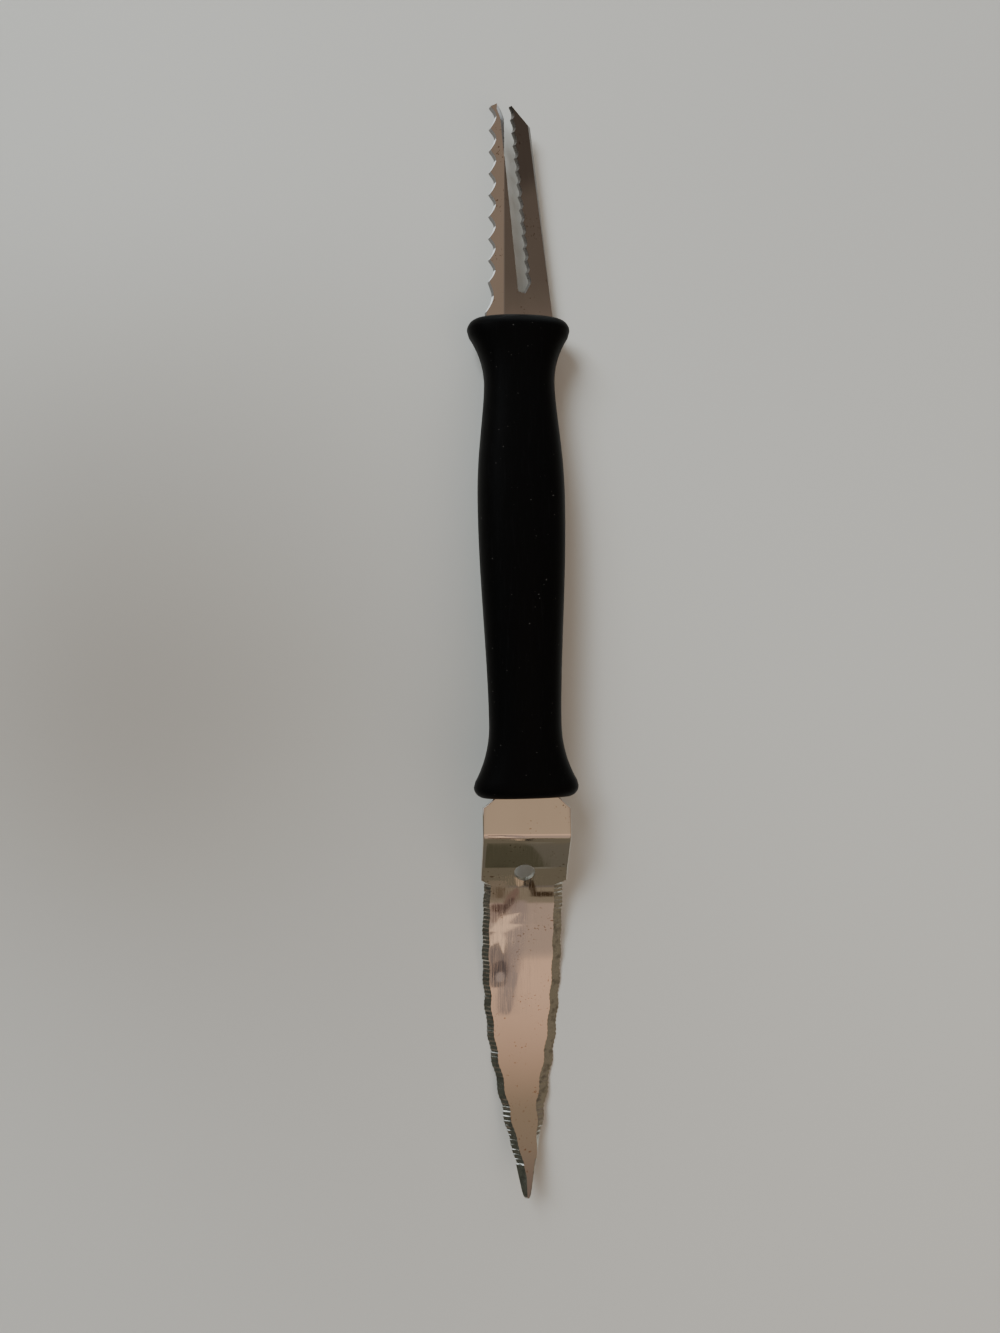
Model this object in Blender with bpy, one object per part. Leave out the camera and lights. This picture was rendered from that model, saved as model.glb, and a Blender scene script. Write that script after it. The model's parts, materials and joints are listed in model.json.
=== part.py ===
"""Grapefruit knife: a moulded handle with a curved serrated blade at one end and a twin blade at the other.

Lengths are metres and angles degrees. The knife is modelled in its own frame: Y runs along the handle, from
the curved blade's end at Y = 0 to the twin blade's end, X runs across it and Z up, and the handle's axis lies
at X = Z = 0. An empty then lays the knife down: it rests on the curved blade's belly and on the far flare of
the handle, with the origin under the middle of its box.
"""
import math

import bmesh
import bpy
import numpy as np
from mathutils import Matrix, Vector

# Fit of the tangs in the handle
CLEARANCE = 0.0003
MOUTH_OVERRUN = 0.002

# Handle, seen from above: half widths, and from the side: half heights
HANDLE_LENGTH = 0.1059
NEAR_FLARE_HALF_WIDTH = 0.0117
FAR_FLARE_HALF_WIDTH = 0.0115
NECK_HALF_WIDTH = 0.0079
BELLY_HALF_WIDTH = 0.0098
WAIST_HALF_WIDTH = 0.0081
FLARE_HALF_HEIGHT = 0.0063
NECK_HALF_HEIGHT = 0.0056
BELLY_HALF_HEIGHT = 0.0063
WAIST_HALF_HEIGHT = 0.0056
NEAR_FLARE_REACH = 0.0138
FAR_FLARE_REACH = 0.0118
LIP_RADIUS = 0.0024
BELLY_FROM_FAR_END = 0.0403
NECK_EASE = 0.80
WAIST_EASE = 0.92
SECTION_POWER = 2.3
SECTION_POINTS = 40
LIP_RINGS = 6
FLANK_RINGS = 6
BODY_RINGS = 15

# Curved blade: one bent sheet, from its tang to its tip
BLADE_SHEET = 0.00095
TANG_LENGTH = 0.040
TANG_END_WIDTH = 0.0080
TANG_MOUTH_WIDTH = 0.0138
SHANK_WIDTH = 0.0198
SHANK_LENGTH = 0.0079
CHAMFER_LENGTH = 0.0025
RIDGE_TURN = 37.0
RIDGE_RADIUS = 0.0035
SLOPE_LENGTH = 0.0078
VALLEY_TURN = 12.5
VALLEY_RADIUS = 0.0175
BELLY_TURN = 42.1
BELLY_RADIUS = 0.105
BEND_STEPS = 6
SHOULDER_BEYOND_VALLEY = 0.0018
SHOULDER_LENGTH = 0.0007
# The ground part's half widths, each at a share of its length from the shoulder to the tip
LEAF = ((0.0, 0.0092), (0.24, 0.0094), (0.40, 0.0090), (0.55, 0.0081), (0.63, 0.0071),
        (0.71, 0.0057), (0.82, 0.0039), (0.90, 0.0023), (0.96, 0.0014), (0.99, 0.0008), (1.0, 0.0003))
TOOTH_PITCH = 0.00105
TOOTH_DEPTH = 0.0002
WAVE_PITCH = 0.0067
WAVE_HEIGHT = 0.00016
FIRST_WAVE = 0.0023
GRIND_WIDTH = 0.0018
GRIND_ZIGZAG = 0.0002
GRIND_SHARE_AT_TIP = 0.55
GROUND_EDGE = 0.00025
PLAIN_TIP = 0.007
TIP_STEPS = 10
HOLE_WIDTH = 0.0047
HOLE_INTO_VALLEY = 0.0018
HOLE_DRILL_LENGTH = 0.008
HOLE_POINTS = 32

# Twin blade: one folded sheet, slotted into two blades
TWIN_SHEET = 0.0009
TWIN_REACH = 0.0471
SCALLOPED_WIDTH = 0.0050
STRAIGHT_WIDTH = 0.0139
SCALLOPED_SLOPE = 42.0
STRAIGHT_SLOPE = 30.0
FOLD_RADIUS = 0.0008
FOLD_STEPS = 8
RIDGE_OFFSET = -0.0038
RIDGE_HEIGHT = 0.0034
TWIN_LEAN = 1.0
TWIN_SEAT_DEPTH = 0.003
TWIN_TANG_LENGTH = 0.028
TWIN_TANG_INSET = 0.0023
TWIN_TANG_WIDTH = 0.0105
SCALLOP_PITCH = 0.00485
SCALLOP_DEPTH = 0.0015
SCALLOP_TIP_LINE = 0.0052
SCALLOP_NARROWING = 0.0003
SCALLOPS = 9
SCALLOP_SKEW = 1.25
SCALLOP_GRIND = 0.0010
SCALLOP_POINTS = 8
LAST_SCALLOP_DROP = 0.0014
SCALLOPS_BEGIN_BELOW = 0.0010
# The scalloped blade's tip from the slot round to its point: across from the fold, and short of the reach
SCALLOPED_TIP = ((0.0001, 0.0066), (0.0002, 0.0045), (0.0007, 0.0024), (0.0018, 0.0))
TOOTHED_PITCH = 0.00275
TOOTHED_DEPTH = 0.00065
TOOTHED_GRIND = 0.0004
TOOTHED_POINTS = 5
SLOT_BOTTOM = 0.0059
SLOT_WIDTH = 0.0030
SLOT_FROM_FOLD = 0.0038
SLOT_CROSSES_FOLD = 0.0373
SLOT_CORNER = 0.0010
STRAIGHT_TIP_WIDTH = 0.0057
STRAIGHT_TIP_DROP = 0.0034

COLLECTION = "grapefruit_knife"
WELD = 0.000001
SHARP_ANGLE = 30.0
LEVELLING_ROUNDS = 12


def clear_scene():
    """Remove every object, so that the script can be run again."""
    for old in list(bpy.data.objects):
        bpy.data.objects.remove(old, do_unlink=True)


def make_collection(name):
    """A new collection under the scene's own."""
    collection = bpy.data.collections.new(name)
    bpy.context.scene.collection.children.link(collection)
    return collection


def make_material(name, colour, roughness, metallic):
    """A Principled material with one colour."""
    material = bpy.data.materials.new(name)
    material.use_nodes = True
    shader = material.node_tree.nodes["Principled BSDF"]
    shader.inputs["Base Color"].default_value = (*colour, 1.0)
    shader.inputs["Roughness"].default_value = roughness
    shader.inputs["Metallic"].default_value = metallic
    material.diffuse_color = (*colour, 1.0)
    return material


def make_object(name, bm, collection, parent, material=None):
    """Close a bmesh's seams, face it outwards and make it an object."""
    bmesh.ops.remove_doubles(bm, verts=bm.verts, dist=WELD)
    bmesh.ops.dissolve_degenerate(bm, edges=bm.edges, dist=WELD)
    bmesh.ops.triangulate(bm, faces=[face for face in bm.faces if len(face.verts) > 4])
    bmesh.ops.recalc_face_normals(bm, faces=bm.faces)
    mesh = bpy.data.meshes.new(name)
    bm.to_mesh(mesh)
    bm.free()
    mesh.shade_smooth()
    mesh.set_sharp_from_angle(angle=math.radians(SHARP_ANGLE))
    made = bpy.data.objects.new(name, mesh)
    made.parent = parent
    collection.objects.link(made)
    if material:
        mesh.materials.append(material)
    return made


def cut_with(piece, cutter):
    """Take the cutter's shape out of the piece."""
    cutter.hide_render = True
    cutter.display_type = "WIRE"
    cut = piece.modifiers.new(cutter.name, "BOOLEAN")
    cut.operation = "DIFFERENCE"
    cut.solver = "EXACT"
    cut.object = cutter


def loft(rings):
    """A closed body through rings of points, with as many points in each ring, and a face on each end."""
    bm = bmesh.new()
    made = [[bm.verts.new(point) for point in ring] for ring in rings]
    for ring, after in zip(made, made[1:]):
        for here in range(len(ring)):
            beside = (here + 1) % len(ring)
            bm.faces.new((ring[here], ring[beside], after[beside], after[here]))
    bm.faces.new(made[0])
    bm.faces.new(made[-1])
    return bm


def walk(bends, distance, heading=0.0):
    """The place and heading of a sheet's mid line at a distance along its bends, each a length and a turn."""
    place = Vector((0.0, 0.0))
    for length, turn in bends:
        step = min(distance, length)
        angle = turn * step / length
        chord = step if abs(angle) < 1e-9 else 2 * length / turn * math.sin(angle / 2)
        place += chord * Vector((math.cos(heading + angle / 2), math.sin(heading + angle / 2)))
        heading += angle
        distance -= step
        if distance <= 0:
            break
    return place, heading


def interpolate(stations, place):
    """A smooth curve through stations, each a place and a value, level where the values turn."""
    places = [station[0] for station in stations]
    values = [station[1] for station in stations]
    steps = [(values[i + 1] - values[i]) / (places[i + 1] - places[i]) for i in range(len(values) - 1)]
    index = next((i for i in range(len(steps)) if place <= places[i + 1]), len(steps) - 1)
    slopes = []
    for i in (index, index + 1):
        before = steps[max(i - 1, 0)]
        after = steps[min(i, len(steps) - 1)]
        slopes.append(0.0 if before * after <= 0 else 2 * before * after / (before + after))
    width = places[index + 1] - places[index]
    t = (place - places[index]) / width
    rise = values[index + 1] - values[index]
    return (values[index] + rise * t * t * (3 - 2 * t)
            + width * t * (1 - t) * (slopes[0] * (1 - t) - slopes[1] * t))


# Handle


def flank_radius(reach, rise):
    """The radius of a flare's flank arc, which is tangent to the lip arc and to the body."""
    return (reach ** 2 + rise ** 2) / (2 * rise) - LIP_RADIUS


def crest_depth(reach, rise):
    """How far from the handle's end a flare's lip arc meets its flank arc."""
    return LIP_RADIUS + reach * LIP_RADIUS / (LIP_RADIUS + flank_radius(reach, rise))


def flare_rise(depth, reach, rise):
    """How far a flare stands out of the body at a depth from the end."""
    from_waist = LIP_RADIUS + reach - depth
    if from_waist <= 0:
        return 0.0
    if depth > crest_depth(reach, rise):
        flank = flank_radius(reach, rise)
        return flank - math.sqrt(flank ** 2 - from_waist ** 2)
    return rise - LIP_RADIUS + math.sqrt(max(LIP_RADIUS ** 2 - (depth - LIP_RADIUS) ** 2, 0.0))


def handle_half_size(place, near_flare, waist, belly, neck, far_flare):
    """Half the handle's width or height at a place along it, from its sizes at the five named places."""
    waist_place = LIP_RADIUS + NEAR_FLARE_REACH
    neck_place = HANDLE_LENGTH - LIP_RADIUS - FAR_FLARE_REACH
    belly_place = HANDLE_LENGTH - BELLY_FROM_FAR_END
    if place < belly_place:
        start, end, ease = waist, waist_place, WAIST_EASE
    else:
        start, end, ease = neck, neck_place, NECK_EASE
    share = min(max((place - end) / (belly_place - end), 0.0), 1.0)
    body = start + (belly - start) * math.sin(math.pi / 2 * share ** ease) ** 2
    near = flare_rise(place, NEAR_FLARE_REACH, near_flare - waist)
    far = flare_rise(HANDLE_LENGTH - place, FAR_FLARE_REACH, far_flare - neck)
    return body + near + far


def handle_places():
    """Where the handle's rings stand: close together round the lips, wider apart on the body."""
    lip = [LIP_RADIUS * (1 - math.cos(math.pi * i / (2 * LIP_RINGS))) for i in range(LIP_RINGS + 1)]
    flares = []
    for reach, rise in ((NEAR_FLARE_REACH, NEAR_FLARE_HALF_WIDTH - WAIST_HALF_WIDTH),
                        (FAR_FLARE_REACH, FAR_FLARE_HALF_WIDTH - NECK_HALF_WIDTH)):
        crest = crest_depth(reach, rise)
        waist_depth = LIP_RADIUS + reach
        flank = [crest + (waist_depth - crest) * i / FLANK_RINGS for i in range(FLANK_RINGS + 1)]
        flares.append(lip + flank)
    near, far = flares
    start = near[-1]
    end = HANDLE_LENGTH - far[-1]
    body = [start + (end - start) * i / BODY_RINGS for i in range(1, BODY_RINGS)]
    return near + body + [HANDLE_LENGTH - depth for depth in reversed(far)]


def build_handle(collection, parent):
    """The moulded handle: an oval body, waisted and flared at both ends."""
    rings = []
    for place in handle_places():
        half_width = handle_half_size(place, NEAR_FLARE_HALF_WIDTH, WAIST_HALF_WIDTH, BELLY_HALF_WIDTH,
                                      NECK_HALF_WIDTH, FAR_FLARE_HALF_WIDTH)
        half_height = handle_half_size(place, FLARE_HALF_HEIGHT, WAIST_HALF_HEIGHT, BELLY_HALF_HEIGHT,
                                       NECK_HALF_HEIGHT, FLARE_HALF_HEIGHT)
        ring = []
        for i in range(SECTION_POINTS):
            across = math.cos(2 * math.pi * i / SECTION_POINTS)
            up = math.sin(2 * math.pi * i / SECTION_POINTS)
            x = math.copysign(abs(across) ** (2 / SECTION_POWER), across) * half_width
            z = math.copysign(abs(up) ** (2 / SECTION_POWER), up) * half_height
            ring.append((x, place, z))
        rings.append(ring)
    material = make_material("black_plastic", (0.012, 0.012, 0.013), 0.42, 0.0)
    return make_object("handle", loft(rings), collection, parent, material)


# Curved blade


def blade_bends():
    """The bends of the curved blade's sheet, from the inner end of its tang to its tip."""
    ridge = math.radians(RIDGE_TURN)
    valley = math.radians(VALLEY_TURN)
    belly = math.radians(BELLY_TURN)
    return ((TANG_LENGTH + SHANK_LENGTH, 0.0),
            (RIDGE_RADIUS * ridge, -ridge),
            (SLOPE_LENGTH, 0.0),
            (VALLEY_RADIUS * valley, valley),
            (BELLY_RADIUS * belly, belly))


def on_blade(distance, across, above):
    """A point of the curved blade: a distance along its sheet, across it, and above its mid line."""
    place, heading = walk(blade_bends(), distance)
    forward = place.x - above * math.sin(heading)
    up = place.y + above * math.cos(heading)
    return Vector((across, TANG_LENGTH - forward, up))


def blade_marks():
    """Distances along the curved blade's sheet: the end of each of its bends."""
    marks = []
    distance = 0.0
    for length, _ in blade_bends():
        distance += length
        marks.append(distance)
    return marks


def leaf_half_width(along, length):
    """Half the ground blade's width at a distance along it, with the wave that its edges are ground to."""
    toothed_length = length - PLAIN_TIP
    fade = min(max((toothed_length - along) / PLAIN_TIP, 0.0), 1.0)
    wave = WAVE_HEIGHT * fade * math.cos(2 * math.pi * (along - FIRST_WAVE) / WAVE_PITCH)
    return interpolate(LEAF, along / length) + wave


def blade_section(distance, half, grind):
    """One section of the sheet, counter-clockwise: its edges are ground on the upper side."""
    top = BLADE_SHEET / 2
    edge = GROUND_EDGE - top if grind else top
    outline = ((-half, -top), (half, -top), (half, edge), (half - grind, top), (grind - half, top),
               (-half, edge))
    return [on_blade(distance, across, above) for across, above in outline]


def curved_blade_rings():
    """Sections of the curved blade from its tang to its tip."""
    mouth = TANG_LENGTH
    shank_end, ridge_end, valley_start, valley_end, tip = blade_marks()
    sections = [(0.0, TANG_END_WIDTH / 2), (mouth, TANG_MOUTH_WIDTH / 2),
                (mouth + CHAMFER_LENGTH, SHANK_WIDTH / 2)]
    for start, end in ((shank_end, ridge_end), (valley_start, valley_end)):
        for i in range(BEND_STEPS + 1):
            sections.append((start + (end - start) * i / BEND_STEPS, SHANK_WIDTH / 2))
    shoulder = valley_end + SHOULDER_BEYOND_VALLEY
    sections.append((shoulder, SHANK_WIDTH / 2))
    rings = [blade_section(distance, half, 0.0) for distance, half in sections]
    ground_start = shoulder + SHOULDER_LENGTH
    ground_length = tip - ground_start
    tooth_count = int((ground_length - PLAIN_TIP) / TOOTH_PITCH)
    stations = [((i + 1) / 2 * TOOTH_PITCH, i % 2) for i in range(2 * tooth_count)]
    last_tooth = stations[-1][0]
    for i in range(1, TIP_STEPS + 1):
        share = math.sin(math.pi / 2 * i / TIP_STEPS)
        stations.append((last_tooth + (ground_length - last_tooth) * share, 0))
    for along, in_valley in stations:
        half = leaf_half_width(along, ground_length) - TOOTH_DEPTH * in_valley
        grind = min(GRIND_WIDTH + GRIND_ZIGZAG * in_valley, half * GRIND_SHARE_AT_TIP)
        rings.append(blade_section(ground_start + along, half, grind))
    return rings


def build_curved_blade(collection, cutters, parent):
    """The bent, ground blade with its tang and its hanging hole, square to the sheet."""
    material = make_material("curved_blade_steel", (0.66, 0.62, 0.58), 0.16, 1.0)
    blade = make_object("curved_blade", loft(curved_blade_rings()), collection, parent, material)
    distance = blade_marks()[2] + HOLE_INTO_VALLEY
    heading = walk(blade_bends(), distance)[1]
    place = Matrix.Translation(on_blade(distance, 0.0, 0.0)) @ Matrix.Rotation(-heading, 4, "X")
    bm = bmesh.new()
    bmesh.ops.create_cone(bm, cap_ends=True, segments=HOLE_POINTS, radius1=HOLE_WIDTH / 2,
                          radius2=HOLE_WIDTH / 2, depth=HOLE_DRILL_LENGTH, matrix=place)
    cut_with(blade, make_object("hole_cutter", bm, cutters, parent))
    return blade


def build_tang_cutter(cutters, parent):
    """The pocket in the handle for the curved blade's tang."""
    half_gap = BLADE_SHEET / 2 + CLEARANCE
    taper = (TANG_MOUTH_WIDTH - TANG_END_WIDTH) / 2 / TANG_LENGTH
    rings = []
    for depth in (-MOUTH_OVERRUN, TANG_LENGTH + CLEARANCE):
        half = TANG_MOUTH_WIDTH / 2 - taper * depth + CLEARANCE
        rings.append([(-half, depth, -half_gap), (half, depth, -half_gap), (half, depth, half_gap),
                      (-half, depth, half_gap)])
    return make_object("tang_cutter", loft(rings), cutters, parent)


# Twin blade


def twin_bends(wide):
    """The bends of the twin blade's sheet, from its scalloped edge, wide from the fold, to the far edge."""
    turn = math.radians(SCALLOPED_SLOPE + STRAIGHT_SLOPE)
    arc = FOLD_RADIUS * turn
    return ((wide - arc / 2, 0.0), (arc, -turn), (STRAIGHT_WIDTH + MOUTH_OVERRUN, 0.0))


def fold_sheet(bm):
    """Fold a flat sheet, whose X runs across the fold and Y along it, and set it on the handle's end."""
    wide = SCALLOPED_WIDTH + MOUTH_OVERRUN
    bends = twin_bends(wide)
    arc = bends[1][0]
    heading = math.radians(SCALLOPED_SLOPE)
    for i in range(FOLD_STEPS + 1):
        bmesh.ops.bisect_plane(bm, geom=bm.verts[:] + bm.edges[:] + bm.faces[:],
                               plane_co=(arc * (i / FOLD_STEPS - 0.5), 0.0, 0.0), plane_no=(1.0, 0.0, 0.0))
    ridge, _ = walk(bends, wide, heading)
    lean = Matrix.Rotation(math.radians(-TWIN_LEAN), 4, "Z")
    for vert in bm.verts:
        place, slope = walk(bends, wide + vert.co.x, heading)
        across = place.x - ridge.x - vert.co.z * math.sin(slope)
        up = place.y - ridge.y + vert.co.z * math.cos(slope)
        vert.co = lean @ Vector((across, vert.co.y, up))
        vert.co += Vector((RIDGE_OFFSET, HANDLE_LENGTH, RIDGE_HEIGHT))


def flat_sheet(outline, thickness):
    """A flat sheet with an outline of points, each an X, a Y and how far the edge is ground there."""
    top = thickness / 2
    lower = [(x, y, -top) for x, y, _ in outline]
    edge = [(x, y, GROUND_EDGE - top if grind else top) for x, y, grind in outline]
    upper = [(x + grind, y, top) for x, y, grind in outline]
    bm = loft([lower, edge, upper])
    bmesh.ops.remove_doubles(bm, verts=bm.verts, dist=WELD)
    bmesh.ops.triangulate(bm, faces=bm.faces)
    return bm


def teeth(start, end, count, depth, grind, points):
    """Hollow teeth along an edge from start to end, whose tips lie on the straight line between the two."""
    made = []
    for i in range(count * points + 1):
        along = i / points
        share = 1 - along % 1.0
        hollow = 0.0 if i % points == 0 else math.sin(math.pi * share ** SCALLOP_SKEW)
        place = start + (end - start) * (along / count)
        made.append((place.x + depth * hollow, place.y, grind))
    return made


def twin_outline():
    """The twin blade's flat outline, counter-clockwise from the inner end of its tang."""
    tang_left = TWIN_TANG_INSET - SCALLOPED_WIDTH
    tang_right = tang_left + TWIN_TANG_WIDTH
    outline = [(tang_left, -TWIN_TANG_LENGTH, 0.0), (tang_right, -TWIN_TANG_LENGTH, 0.0),
               (tang_right, -TWIN_SEAT_DEPTH, 0.0), (STRAIGHT_WIDTH, -TWIN_SEAT_DEPTH, 0.0),
               (STRAIGHT_WIDTH, 0.0, 0.0)]
    slot_lean = SLOT_FROM_FOLD / (SLOT_CROSSES_FOLD - SLOT_BOTTOM)
    slot_edge_top = SLOT_FROM_FOLD + SLOT_WIDTH - slot_lean * (TWIN_REACH - SLOT_BOTTOM)
    outline.append((slot_edge_top + STRAIGHT_TIP_WIDTH, TWIN_REACH - STRAIGHT_TIP_DROP, 0.0))
    toothed_start = Vector((SLOT_FROM_FOLD + SLOT_WIDTH, SLOT_BOTTOM + 2 * SLOT_CORNER))
    toothed_end = Vector((slot_edge_top, TWIN_REACH - TOOTHED_DEPTH))
    toothed_count = round((toothed_end - toothed_start).length / TOOTHED_PITCH)
    toothed = teeth(toothed_start, toothed_end, toothed_count, TOOTHED_DEPTH, TOOTHED_GRIND, TOOTHED_POINTS)
    outline += reversed(toothed)
    outline += [(SLOT_FROM_FOLD + SLOT_WIDTH - SLOT_CORNER, SLOT_BOTTOM, 0.0),
                (SLOT_FROM_FOLD, SLOT_BOTTOM, 0.0), (0.0, SLOT_CROSSES_FOLD, 0.0)]
    outline += [(-across, TWIN_REACH - short, 0.0) for across, short in SCALLOPED_TIP]
    last_tip = TWIN_REACH - LAST_SCALLOP_DROP
    scallop_start = Vector((-SCALLOP_TIP_LINE, last_tip - SCALLOPS * SCALLOP_PITCH))
    scallop_end = Vector((SCALLOP_NARROWING - SCALLOP_TIP_LINE, last_tip))
    scallops = teeth(scallop_start, scallop_end, SCALLOPS, SCALLOP_DEPTH, SCALLOP_GRIND, SCALLOP_POINTS)
    outline += list(reversed(scallops))[:-1]
    outline += [(-SCALLOPED_WIDTH, scallop_start.y - SCALLOPS_BEGIN_BELOW, 0.0),
                (-SCALLOPED_WIDTH, -TWIN_SEAT_DEPTH, 0.0), (tang_left, -TWIN_SEAT_DEPTH, 0.0)]
    return outline


def build_twin_blade(collection, parent):
    """The folded, slotted blade with its tang."""
    bm = flat_sheet(twin_outline(), TWIN_SHEET)
    fold_sheet(bm)
    material = make_material("twin_blade_steel", (0.62, 0.58, 0.54), 0.20, 1.0)
    return make_object("twin_blade", bm, collection, parent, material)


def build_twin_cutter(cutters, parent):
    """The folded pocket in the handle for the twin blade's tang."""
    tang_left = TWIN_TANG_INSET - SCALLOPED_WIDTH - CLEARANCE
    tang_right = tang_left + TWIN_TANG_WIDTH + 2 * CLEARANCE
    left = -SCALLOPED_WIDTH - CLEARANCE
    right = STRAIGHT_WIDTH + CLEARANCE
    seat = -TWIN_SEAT_DEPTH - CLEARANCE
    bottom = -TWIN_TANG_LENGTH - CLEARANCE
    outline = [(tang_left, bottom, 0.0), (tang_right, bottom, 0.0), (tang_right, seat, 0.0),
               (right, seat, 0.0), (right, MOUTH_OVERRUN, 0.0), (left, MOUTH_OVERRUN, 0.0),
               (left, seat, 0.0), (tang_left, seat, 0.0)]
    bm = flat_sheet(outline, TWIN_SHEET + 2 * CLEARANCE)
    fold_sheet(bm)
    return make_object("twin_tang_cutter", bm, cutters, parent)


# The knife at rest


def finished_points(pieces):
    """Every vertex of the finished pieces, in the knife's own frame."""
    depsgraph = bpy.context.evaluated_depsgraph_get()
    points = []
    for piece in pieces:
        evaluated = piece.evaluated_get(depsgraph)
        points += [vert.co[:] for vert in evaluated.data.vertices]
    return np.array(points)


def tilted(points, pitch):
    """Points turned about X by a pitch."""
    return points @ np.array(Matrix.Rotation(pitch, 3, "X")).T


def lay_down(knife, pieces):
    """Pitch the knife until the blade's belly and the far flare are level, and set its box on the origin."""
    points = finished_points(pieces)
    pitch = 0.0
    for _ in range(LEVELLING_ROUNDS):
        turned = tilted(points, pitch)
        blade_side = turned[points[:, 1] < 0]
        handle_side = turned[points[:, 1] > HANDLE_LENGTH / 2]
        blade_foot = blade_side[blade_side[:, 2].argmin()]
        handle_foot = handle_side[handle_side[:, 2].argmin()]
        run = handle_foot - blade_foot
        pitch -= math.atan2(run[2], run[1])
    turned = tilted(points, pitch)
    low = turned.min(axis=0)
    high = turned.max(axis=0)
    knife.rotation_euler.x = pitch
    knife.location = (-(low[0] + high[0]) / 2, -(low[1] + high[1]) / 2, -low[2])
    print(f"knife pitched {math.degrees(pitch):.2f} degrees, {high[1] - low[1]:.4f} m long,"
          f" at {tuple(round(value, 5) for value in knife.location)}")


def build_knife():
    """Build the three pieces, and lay the knife down."""
    clear_scene()
    collection = make_collection(COLLECTION)
    cutters = make_collection("cutters")
    knife = bpy.data.objects.new("knife", None)
    collection.objects.link(knife)
    handle = build_handle(collection, knife)
    cut_with(handle, build_tang_cutter(cutters, knife))
    cut_with(handle, build_twin_cutter(cutters, knife))
    curved_blade = build_curved_blade(collection, cutters, knife)
    twin_blade = build_twin_blade(collection, knife)
    lay_down(knife, (handle, curved_blade, twin_blade))


build_knife()
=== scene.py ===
"""The look of the grapefruit knife: finer meshes, materials, a pale table, soft window light and the camera.

Lengths are metres and angles degrees. Each piece is modelled in the knife's own frame, where Y runs along the
handle from the curved blade's end to the twin blade's, X runs across and Z up, and is then laid on the table
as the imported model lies: the mount on the shank says where that is.
"""
import json
import math

import bmesh
import bpy
from mathutils import Matrix, Vector


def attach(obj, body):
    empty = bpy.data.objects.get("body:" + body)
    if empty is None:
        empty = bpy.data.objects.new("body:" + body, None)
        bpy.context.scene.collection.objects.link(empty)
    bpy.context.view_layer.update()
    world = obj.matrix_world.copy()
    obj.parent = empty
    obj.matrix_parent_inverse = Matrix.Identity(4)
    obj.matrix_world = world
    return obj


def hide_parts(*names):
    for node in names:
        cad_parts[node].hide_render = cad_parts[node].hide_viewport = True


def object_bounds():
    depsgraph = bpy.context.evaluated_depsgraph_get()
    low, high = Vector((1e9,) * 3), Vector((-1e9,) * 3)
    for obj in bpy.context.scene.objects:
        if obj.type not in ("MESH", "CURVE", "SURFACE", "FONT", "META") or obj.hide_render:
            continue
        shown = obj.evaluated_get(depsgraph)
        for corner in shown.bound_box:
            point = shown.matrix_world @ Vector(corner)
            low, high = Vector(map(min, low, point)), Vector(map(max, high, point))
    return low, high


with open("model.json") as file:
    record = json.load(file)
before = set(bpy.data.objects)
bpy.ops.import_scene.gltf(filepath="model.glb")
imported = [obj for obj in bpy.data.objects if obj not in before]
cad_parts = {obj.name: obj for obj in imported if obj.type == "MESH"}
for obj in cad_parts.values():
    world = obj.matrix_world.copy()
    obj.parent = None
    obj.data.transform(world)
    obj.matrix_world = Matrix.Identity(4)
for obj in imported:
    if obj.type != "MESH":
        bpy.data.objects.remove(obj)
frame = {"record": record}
cad_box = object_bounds()

BODY = "root"
WELD = 0.000001
SHARP_ANGLE = 32.0
# How many times larger than its neighbour a face is when its shading is kept apart
FLAT_FACE = 8.0

# Handle, seen from above: half widths, and from the side: half heights
HANDLE_LENGTH = 0.1059
NEAR_FLARE_HALF_WIDTH = 0.0117
FAR_FLARE_HALF_WIDTH = 0.0115
NECK_HALF_WIDTH = 0.0079
BELLY_HALF_WIDTH = 0.0098
WAIST_HALF_WIDTH = 0.0081
FLARE_HALF_HEIGHT = 0.0063
NECK_HALF_HEIGHT = 0.0056
BELLY_HALF_HEIGHT = 0.0063
WAIST_HALF_HEIGHT = 0.0056
NEAR_FLARE_REACH = 0.0138
FAR_FLARE_REACH = 0.0118
LIP_RADIUS = 0.0024
BELLY_FROM_FAR_END = 0.0403
NECK_EASE = 0.80
WAIST_EASE = 0.92
SECTION_POWER = 2.3
SECTION_POINTS = 128
LIP_RINGS = 14
FLANK_RINGS = 22
BODY_RINGS = 60
PARTING_HEIGHT = 0.00004
PARTING_WIDTH = 0.00018
SEAT_GAP = 0.00008
MOUTH_OVERRUN = 0.002

# Curved blade: one bent sheet, from its tang to its tip
BLADE_SHEET = 0.00095
TANG_LENGTH = 0.040
TANG_END_WIDTH = 0.0080
TANG_MOUTH_WIDTH = 0.0138
SHANK_WIDTH = 0.0198
SHANK_LENGTH = 0.0079
CHAMFER_LENGTH = 0.0025
# The ridge is folded tightly first and eases out: each part's turn and length
RIDGE_STARTS_BEYOND = 0.00025
KNEE_TURN = 16.0
KNEE_LENGTH = 0.00022
EASE_TURN = 21.0
EASE_LENGTH = 0.00190
SLOPE_LENGTH = 0.00757
VALLEY_TURN = 12.5
VALLEY_RADIUS = 0.0175
BELLY_TURN = 42.1
BELLY_RADIUS = 0.105
BEND_STEPS = 14
BEND_SKEW = 0.028
SHOULDER_BEYOND_VALLEY = 0.0004
SHOULDER_LENGTH = 0.0007
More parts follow.
